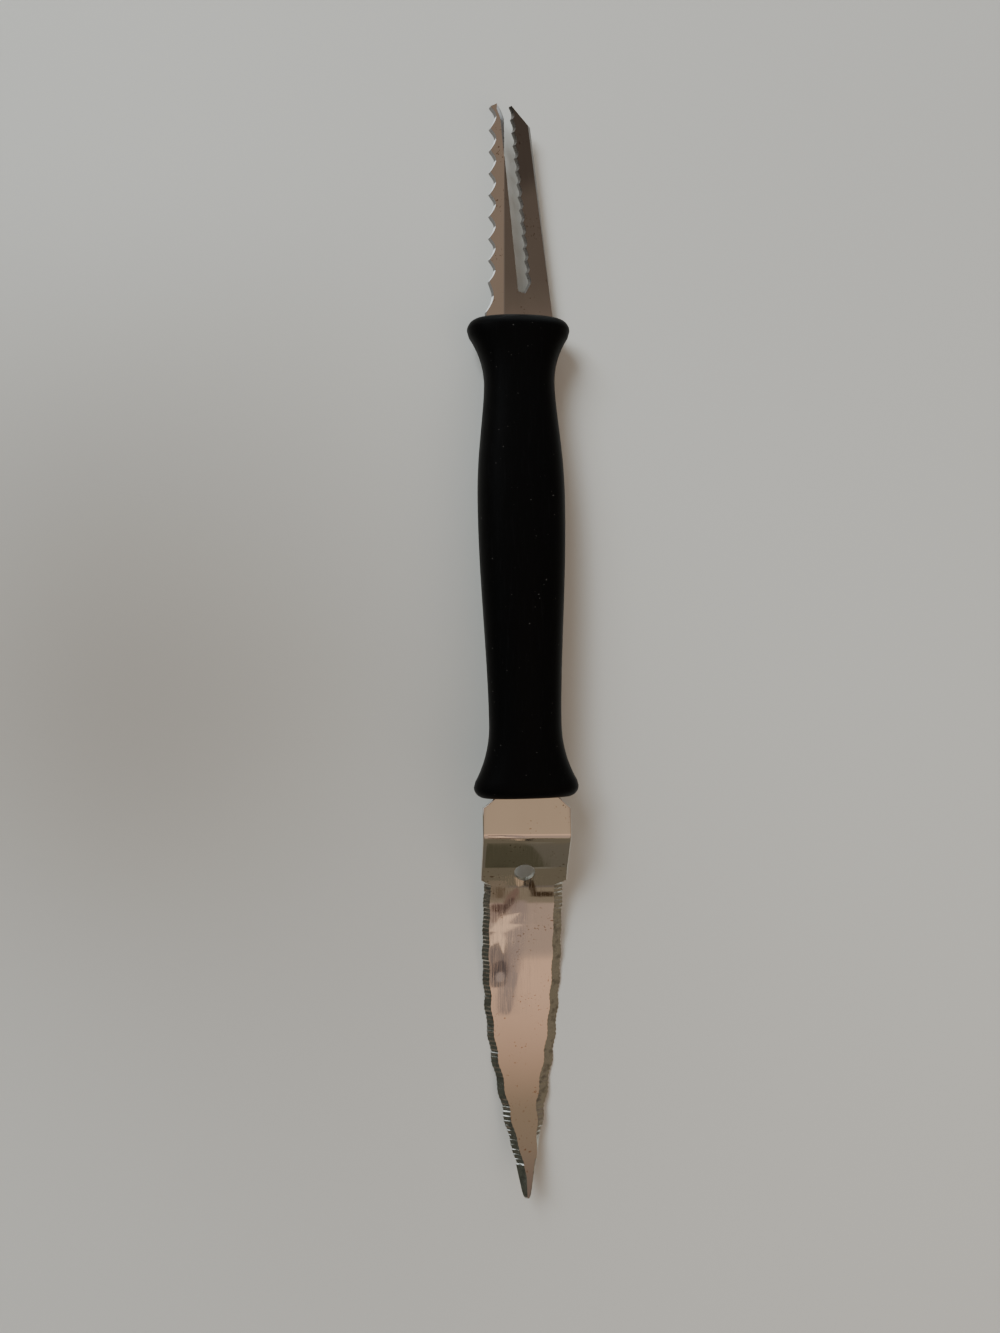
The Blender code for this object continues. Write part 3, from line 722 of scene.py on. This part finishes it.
def flat_sheet(outline, thickness):
    """A flat sheet from an outline of points: an X, a Y, how far the edge is ground and to what thickness.

    Its faces have the first material, the bevels that face the far left the second, a painted highlight,
    and all its other edges the third: a dark cut wall, which paints shade on the other bevels as well.
    """
    top = thickness / 2
    lower = [(x, y, -top) for x, y, _, _ in outline]
    edge = [(x, y, left - top if grind else top) for x, y, grind, left in outline]
    upper = [(x + grind, y, top) for x, y, grind, _ in outline]

    def slot_of(row, point):
        x, y, grind, _ = outline[point]
        next_x, next_y, next_grind, _ = outline[(point + 1) % len(outline)]
        # The bevels that face the far left get the painted highlight, the other bevels painted shade
        faces_far_left = next_y < y and next_x < x and grind > 0 and next_grind > 0 and x < 0
        return 1 if row == 1 and faces_far_left else 2

    bm = loft([lower, edge, upper], slot_of)
    bmesh.ops.remove_doubles(bm, verts=bm.verts, dist=WELD)
    bmesh.ops.triangulate(bm, faces=bm.faces)
    return bm


def teeth(start, end, count, depth, grind, left, points):
    """Hollow teeth along an edge from start to end, whose tips lie on the straight line between the two."""
    made = []
    for i in range(count * points + 1):
        along = i / points
        share = 1 - along % 1.0
        hollow = 0.0 if i % points == 0 else math.sin(math.pi * share ** SCALLOP_SKEW)
        place = start + (end - start) * (along / count)
        made.append((place.x + depth * hollow, place.y, grind, left))
    return made


def twin_outline():
    """The twin blade's flat outline, counter-clockwise from the inner end of its tang."""
    tang_left = TWIN_TANG_INSET - SCALLOPED_WIDTH
    tang_right = tang_left + TWIN_TANG_WIDTH
    outline = [(tang_left, -TWIN_TANG_LENGTH), (tang_right, -TWIN_TANG_LENGTH),
               (tang_right, -TWIN_SEAT_DEPTH), (STRAIGHT_WIDTH, -TWIN_SEAT_DEPTH), (STRAIGHT_WIDTH, 0.0)]
    slot_lean = SLOT_FROM_FOLD / (SLOT_CROSSES_FOLD - SLOT_BOTTOM)
    slot_edge_top = SLOT_FROM_FOLD + SLOT_WIDTH - slot_lean * (TWIN_REACH - SLOT_BOTTOM)
    outline.append((slot_edge_top + STRAIGHT_TIP_WIDTH, TWIN_REACH - STRAIGHT_TIP_DROP, -STRAIGHT_TIP_GRIND,
                    TIP_EDGE))
    toothed_start = Vector((SLOT_FROM_FOLD + SLOT_WIDTH, SLOT_BOTTOM + 2 * SLOT_CORNER))
    toothed_end = Vector((slot_edge_top, TWIN_REACH - TOOTHED_DEPTH))
    toothed_count = round((toothed_end - toothed_start).length / TOOTHED_PITCH)
    toothed = teeth(toothed_start, toothed_end, toothed_count, TOOTHED_DEPTH, TOOTHED_GRIND, TOOTHED_EDGE,
                    TOOTHED_POINTS)
    outline += reversed(toothed)
    outline += [(SLOT_FROM_FOLD + SLOT_WIDTH - SLOT_CORNER, SLOT_BOTTOM),
                (SLOT_FROM_FOLD, SLOT_BOTTOM), (0.0, SLOT_CROSSES_FOLD)]
    outline += [(-across, TWIN_REACH - short, -TIP_GRIND, TIP_EDGE) for across, short in SCALLOPED_TIP[:-1]]
    across, short = SCALLOPED_TIP[-1]
    outline.append((-across, TWIN_REACH - short, TIP_GRIND, TIP_EDGE))
    scallop_start = Vector((-SCALLOP_TIP_LINE, TWIN_REACH - SCALLOPS * SCALLOP_PITCH))
    scallop_end = Vector((SCALLOP_NARROWING - SCALLOP_TIP_LINE, TWIN_REACH))
    scallops = teeth(scallop_start, scallop_end, SCALLOPS, SCALLOP_DEPTH, SCALLOP_GRIND, SCALLOP_EDGE,
                     SCALLOP_POINTS)
    lowest = teeth(Vector((-SCALLOPED_WIDTH, LOWEST_SCALLOP_ENDS)), scallop_start, 1, SCALLOP_DEPTH,
                   SCALLOP_GRIND, SCALLOP_EDGE, SCALLOP_POINTS)
    outline += list(reversed(scallops))[:-1] + list(reversed(lowest))
    outline += [(-SCALLOPED_WIDTH, -TWIN_SEAT_DEPTH), (tang_left, -TWIN_SEAT_DEPTH)]
    return [(*point, 0.0, 0.0) if len(point) == 2 else point for point in outline]


def build_twin_blade(polished, ground, sheared_and_shaded):
    """The folded, slotted blade with its ground teeth and its tang."""
    bm = flat_sheet(twin_outline(), TWIN_SHEET)
    fold_sheet(bm)
    # The second material paints a highlight on the bevels that face the far left; the third, the cut walls'
    # dark steel, also paints shade on the other bevels
    blade = make_piece("twin_blade_sheet", bm, (polished, ground, sheared_and_shaded))
    smooth(blade)
    flatten_flanks(blade)
    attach(blade, BODY)
    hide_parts("twin_blade")


# Materials


class Nodes:
    """A material's or the world's node tree, with short calls for the nodes that this scene uses."""

    # The sockets of a mix node that take and give colours
    MIX_COLOURS = (6, 7)
    MIX_RESULT = 2

    def __init__(self, tree):
        self.tree = tree

    def add(self, kind, **settings):
        node = self.tree.nodes.new(kind)
        for name, value in settings.items():
            setattr(node, name, value)
        return node

    def join(self, source, target):
        self.tree.links.new(source, target)

    def place(self, scale, turn=(0.0, 0.0, 0.0)):
        """Object coordinates in metres times a scale along each axis."""
        coordinates = self.add("ShaderNodeTexCoord")
        mapping = self.add("ShaderNodeMapping")
        mapping.inputs["Scale"].default_value = scale
        mapping.inputs["Rotation"].default_value = [math.radians(angle) for angle in turn]
        self.join(coordinates.outputs["Object"], mapping.inputs["Vector"])
        return mapping.outputs["Vector"]

    def along_knife(self):
        """The place along the table's Y."""
        parts = self.add("ShaderNodeSeparateXYZ")
        self.join(self.place((1.0, 1.0, 1.0)), parts.inputs["Vector"])
        return parts.outputs["Y"]

    def noise(self, scale, turn=(0.0, 0.0, 0.0), detail=2.0, roughness=0.5):
        """Noise whose grains are one over scale metres long along each axis."""
        noise = self.add("ShaderNodeTexNoise")
        noise.inputs["Scale"].default_value = 1.0
        noise.inputs["Detail"].default_value = detail
        noise.inputs["Roughness"].default_value = roughness
        self.join(self.place(scale, turn), noise.inputs["Vector"])
        return noise.outputs["Fac"]

    def between(self, value, low, high, to_low=0.0, to_high=1.0):
        """A value's smooth rise from to_low at low to to_high at high."""
        ramp = self.add("ShaderNodeMapRange", interpolation_type="SMOOTHSTEP")
        ramp.inputs["From Min"].default_value = low
        ramp.inputs["From Max"].default_value = high
        ramp.inputs["To Min"].default_value = to_low
        ramp.inputs["To Max"].default_value = to_high
        self.join(value, ramp.inputs["Value"])
        return ramp.outputs["Result"]

    def math(self, operation, first, second):
        """One sum of two sockets or numbers."""
        node = self.add("ShaderNodeMath", operation=operation)
        for value, socket in zip((first, second), node.inputs):
            if isinstance(value, (int, float)):
                socket.default_value = value
            else:
                self.join(value, socket)
        return node.outputs["Value"]

    def mix(self, share, first, second):
        """A colour between two, each a socket or a colour."""
        node = self.add("ShaderNodeMix", data_type="RGBA")
        self.join(share, node.inputs["Factor"])
        for value, number in zip((first, second), self.MIX_COLOURS):
            if isinstance(value, tuple):
                node.inputs[number].default_value = (*value, 1.0)
            else:
                self.join(value, node.inputs[number])
        return node.outputs[self.MIX_RESULT]

    def bump(self, height, depth, under=None):
        """A normal from a height between 0 and 1, times a depth in metres."""
        node = self.add("ShaderNodeBump")
        node.inputs["Distance"].default_value = depth
        self.join(height, node.inputs["Height"])
        if under:
            self.join(under, node.inputs["Normal"])
        return node.outputs["Normal"]


def new_material(name, metallic):
    """A material, its Principled shader and its nodes."""
    material = bpy.data.materials.new(name)
    material.use_nodes = True
    shader = material.node_tree.nodes["Principled BSDF"]
    shader.inputs["Metallic"].default_value = metallic
    return material, shader, Nodes(material.node_tree)


def scratches(nodes, turn, length, width, low, high):
    """Thin lines of a length and width that run along the knife, turned by an angle, as a mask."""
    lines = nodes.noise((1 / width, 1 / length, 1 / length), (0.0, 0.0, turn), detail=0.0)
    return nodes.between(lines, low, high)


def polished_steel(name, colour, painted_shade_from, painted_shade_to, painted_shade_left):
    """Mirror-polished stainless steel, with hairline scratches, a little waviness and brown specks.

    Painted shade darkens it by a share that grows along the knife from one place to another.
    """
    material, shader, nodes = new_material(name, 1.0)
    blotches = nodes.noise((170.0, 170.0, 170.0), detail=4.0)
    specks = nodes.noise((1700.0, 1700.0, 1700.0), detail=1.0)
    stain = nodes.math("MULTIPLY", nodes.between(specks, 0.66, 0.72), nodes.between(blotches, 0.50, 0.62))
    film = nodes.between(nodes.noise((90.0, 60.0, 90.0), detail=3.0), 0.35, 0.75)
    clean = nodes.mix(film, colour, tuple(value * FILM_SHADE for value in colour))
    # Painted shade: the colour darkens along the knife toward the blade's tip, in place of darker reflections
    # there
    painted_shade = nodes.between(nodes.along_knife(), painted_shade_from, painted_shade_to)
    shaded_colour = nodes.mix(painted_shade, clean, tuple(value * painted_shade_left for value in colour))
    nodes.join(nodes.mix(stain, shaded_colour, RUST_COLOUR), shader.inputs["Base Color"])
    hairlines = scratches(nodes, *HAIRLINES[0])
    for lines in HAIRLINES[1:]:
        hairlines = nodes.math("MAXIMUM", hairlines, scratches(nodes, *lines))
    haze = nodes.between(blotches, 0.3, 0.7, 0.02, 0.05)
    scratched = nodes.math("MULTIPLY", hairlines, HAIRLINE_HAZE)
    nodes.join(nodes.math("ADD", haze, scratched), shader.inputs["Roughness"])
    wavy = nodes.bump(nodes.noise((130.0, 70.0, 130.0), detail=1.0), WAVINESS_DEPTH)
    nodes.join(nodes.bump(hairlines, HAIRLINE_DEPTH, wavy), shader.inputs["Normal"])
    return material


def ground_steel(name, colour):
    """Steel as the wheel leaves it: fine lines and a flute for each tooth, rougher than the polished face."""
    material, shader, nodes = new_material(name, 1.0)
    lines = nodes.noise((300.0, 11000.0, 300.0), detail=2.0)
    grime = nodes.between(nodes.noise((700.0, 700.0, 700.0), detail=2.0), 0.45, 0.75)
    dirty = tuple(value * GRIME_SHADE for value in colour)
    nodes.join(nodes.mix(grime, colour, dirty), shader.inputs["Base Color"])
    nodes.join(nodes.between(lines, 0.3, 0.7, 0.14, 0.26), shader.inputs["Roughness"])
    along = nodes.along_knife()
    wave = nodes.math("SINE", nodes.math("MULTIPLY", along, 2 * math.pi / TOOTH_PITCH), 0.0)
    uneven = nodes.between(nodes.noise((330.0, 330.0, 330.0), detail=1.0), 0.42, 0.64, 0.3, 1.0)
    toothed = nodes.between(along, *FLUTES_END)
    flutes = nodes.math("MULTIPLY", wave, nodes.math("MULTIPLY", uneven, toothed))
    fine = nodes.bump(lines, GRIND_LINE_DEPTH)
    nodes.join(nodes.bump(flutes, FLUTE_DEPTH, fine), shader.inputs["Normal"])
    return material


def painted_highlight_steel(name):
    """A near-white, barely metallic facet with fine lines: painted highlight on bevels that face the far
    left.
    """
    material, shader, nodes = new_material(name, 0.1)
    lines = nodes.noise((9000.0, 400.0, 9000.0), detail=1.0)
    nodes.join(nodes.mix(lines, *PAINTED_HIGHLIGHT_COLOURS), shader.inputs["Base Color"])
    nodes.join(nodes.between(lines, 0.3, 0.7, 0.40, 0.55), shader.inputs["Roughness"])
    nodes.join(nodes.bump(lines, BRIGHT_LINE_DEPTH), shader.inputs["Normal"])
    return material


def sheared_and_shaded_steel(name):
    """Dark grained steel: the cut wall, and painted shade on the bevels not facing the far left."""
    material, shader, nodes = new_material(name, 1.0)
    torn = nodes.noise((2500.0, 2500.0, 500.0), detail=3.0)
    nodes.join(nodes.mix(torn, *SHEARED_AND_SHADE_COLOURS), shader.inputs["Base Color"])
    nodes.join(nodes.between(torn, 0.3, 0.7, 0.25, 0.45), shader.inputs["Roughness"])
    nodes.join(nodes.bump(torn, TORN_DEPTH), shader.inputs["Normal"])
    return material


def black_plastic(name):
    """Moulded black plastic: satin, with a fine texture, faint scuffs and a few light specks."""
    material, shader, nodes = new_material(name, 0.0)
    grain = nodes.noise((2600.0, 2600.0, 2600.0), detail=3.0, roughness=0.6)
    waviness = nodes.noise((160.0, 60.0, 160.0), detail=1.0)
    scuffs = scratches(nodes, *SCUFFS)
    dust = nodes.between(nodes.noise((1900.0, 1900.0, 1900.0), detail=0.0), 0.83, 0.88)
    worn = nodes.mix(nodes.math("MULTIPLY", scuffs, 0.5), *PLASTIC_COLOURS)
    nodes.join(nodes.mix(dust, worn, DUST_COLOUR), shader.inputs["Base Color"])
    handled = nodes.between(nodes.noise((110.0, 45.0, 110.0), detail=3.0), 0.3, 0.7, 0.40, 0.50)
    scuffed = nodes.math("MULTIPLY", scuffs, SCUFF_HAZE)
    nodes.join(nodes.math("ADD", handled, scuffed), shader.inputs["Roughness"])
    soft = nodes.bump(waviness, PLASTIC_WAVINESS)
    nodes.join(nodes.bump(grain, PLASTIC_GRAIN_DEPTH, soft), shader.inputs["Normal"])
    shader.inputs["IOR"].default_value = PLASTIC_IOR
    shader.inputs["Specular IOR Level"].default_value = PLASTIC_SPECULAR
    return material


def pale_laminate(name):
    """The table's pale matt laminate."""
    material, shader, nodes = new_material(name, 0.0)
    cloud = nodes.noise((2.2, 2.2, 2.2), detail=3.0)
    nodes.join(nodes.mix(cloud, *LAMINATE_COLOURS), shader.inputs["Base Color"])
    grain = nodes.noise((900.0, 900.0, 900.0), detail=2.0)
    nodes.join(nodes.bump(grain, LAMINATE_GRAIN_DEPTH), shader.inputs["Normal"])
    shader.inputs["Roughness"].default_value = LAMINATE_ROUGHNESS
    return material


def dark_card(name):
    """Dull black card."""
    material, shader, nodes = new_material(name, 0.0)
    fibres = nodes.noise((800.0, 800.0, 800.0), detail=2.0)
    nodes.join(nodes.mix(fibres, *CARD_COLOURS), shader.inputs["Base Color"])
    shader.inputs["Roughness"].default_value = CARD_ROUGHNESS
    return material


# Table, light and camera


def flat_stage(name, size, cells, place, material):
    """A flat square of the stage, which isn't part of the knife."""
    bm = bmesh.new()
    bmesh.ops.create_grid(bm, x_segments=cells, y_segments=cells, size=size / 2)
    mesh = bpy.data.meshes.new(name)
    bm.to_mesh(mesh)
    bm.free()
    mesh.materials.append(material)
    flat = bpy.data.objects.new(name, mesh)
    flat.location = place
    bpy.context.scene.collection.objects.link(flat)
    return flat


def place_card():
    """The dark card between the window and the table, which no camera sees and the steel doesn't mirror."""
    card = flat_stage("shade_card", CARD_WIDTH, 1, CARD_PLACE, dark_card("black_card"))
    card.visible_camera = False
    card.visible_glossy = False


def lay_lobe(nodes, ray, under, direction, inner, outer, colour):
    """Lay a colour over the room within an angle of a direction, fading out to a wider one."""
    toward = nodes.add("ShaderNodeVectorMath", operation="DOT_PRODUCT")
    toward.inputs[1].default_value = Vector(direction).normalized()
    nodes.join(ray, toward.inputs[0])
    share = nodes.between(toward.outputs["Value"], math.cos(math.radians(outer)),
                          math.cos(math.radians(inner)))
    return nodes.mix(share, under, colour)


def count_steps(nodes, parts):
    """The steps that SMALL_PARTS counts in, from the parts of a ray's direction."""
    toward_blade = nodes.math("MULTIPLY", parts.outputs["Y"], -1.0)
    lift = nodes.math("DEGREES", nodes.math("ARCTAN2", parts.outputs["Z"], toward_blade), 0.0)
    steps = nodes.add("ShaderNodeCombineXYZ")
    for value, axis, start, step in zip((parts.outputs["X"], lift), ("X", "Y"), STEPS_START, STEP):
        nodes.join(nodes.math("DIVIDE", nodes.math("SUBTRACT", value, start), step), steps.inputs[axis])
    return steps.outputs["Vector"]


def lay_patch(nodes, steps, under, middle, half_sizes, turn, roundness, softness, colour):
    """Lay a small part's colour over the room."""
    local = nodes.add("ShaderNodeMapping", vector_type="TEXTURE")
    local.inputs["Location"].default_value = (*middle, 0.0)
    local.inputs["Rotation"].default_value = (0.0, 0.0, math.radians(turn))
    local.inputs["Scale"].default_value = (*half_sizes, 1.0)
    nodes.join(steps, local.inputs["Vector"])
    parts = nodes.add("ShaderNodeSeparateXYZ")
    nodes.join(local.outputs["Vector"], parts.inputs["Vector"])
    reach = [nodes.math("POWER", nodes.math("ABSOLUTE", parts.outputs[axis], 0.0), float(roundness))
             for axis in ("X", "Y")]
    share = nodes.between(nodes.math("ADD", *reach), 1 - softness, 1 + softness, 1.0, 0.0)
    return nodes.mix(share, under, colour)


def light_room():
    """A dim room round the table: the sky's colour depends on where a ray goes."""
    world = bpy.data.worlds.new("room")
    bpy.context.scene.world = world
    world.use_nodes = True
    nodes = Nodes(world.node_tree)
    ray = nodes.add("ShaderNodeTexCoord").outputs["Generated"]
    room = ROOM_COLOUR
    for lobe in ROOM_PARTS:
        room = lay_lobe(nodes, ray, room, *lobe)
    parts = nodes.add("ShaderNodeSeparateXYZ")
    nodes.join(ray, parts.inputs["Vector"])
    steps = count_steps(nodes, parts)
    detailed = room
    for part in SMALL_PARTS:
        detailed = lay_patch(nodes, steps, detailed, *part)
    past_start = nodes.between(parts.outputs["X"], *PARTS_BEGIN)
    before_end = nodes.between(parts.outputs["X"], *PARTS_END, 1.0, 0.0)
    background = world.node_tree.nodes["Background"]
    nodes.join(nodes.mix(nodes.math("MULTIPLY", past_start, before_end), room, detailed),
               background.inputs["Color"])
    background.inputs["Strength"].default_value = 1.0


def light_lamps():
    """Soft light from the lamps, which the steel doesn't mirror: the room's colours are what it mirrors."""
    for name, place, width, power, colour in LAMPS:
        data = bpy.data.lights.new(name, "AREA")
        data.size = width
        data.energy = power
        data.color = colour
        lamp = bpy.data.objects.new(name, data)
        lamp.location = place
        lamp.rotation_euler = (-Vector(place)).to_track_quat("-Z", "Y").to_euler()
        lamp.visible_glossy = False
        bpy.context.scene.collection.objects.link(lamp)


def set_camera():
    """The camera where the photograph was taken from."""
    lens = bpy.data.cameras.new("camera")
    lens.lens = CAMERA_LENS
    lens.sensor_width = CAMERA_SENSOR
    lens.clip_start = CAMERA_CLIP_START
    camera = bpy.data.objects.new("camera", lens)
    camera.location = CAMERA_PLACE
    camera.rotation_euler = [math.radians(angle) for angle in CAMERA_TURN]
    bpy.context.scene.collection.objects.link(camera)
    bpy.context.scene.camera = camera


build_handle(black_plastic("satin_black_plastic"))
build_curved_blade(polished_steel("curved_blade_polish", CURVED_POLISH, *CURVED_PAINTED_SHADE),
                   ground_steel("curved_blade_ground", GROUND_COLOUR))
build_twin_blade(polished_steel("twin_blade_polish", TWIN_POLISH, *TWIN_PAINTED_SHADE),
                 painted_highlight_steel("twin_blade_painted_highlight"), sheared_and_shaded_steel("twin_blade_sheared_and_shaded"))
flat_stage("table_top", TABLE_SIZE, TABLE_CELLS, (0.0, 0.0, cad_box[0].z), pale_laminate("pale_laminate"))
light_room()
light_lamps()
place_card()
set_camera()
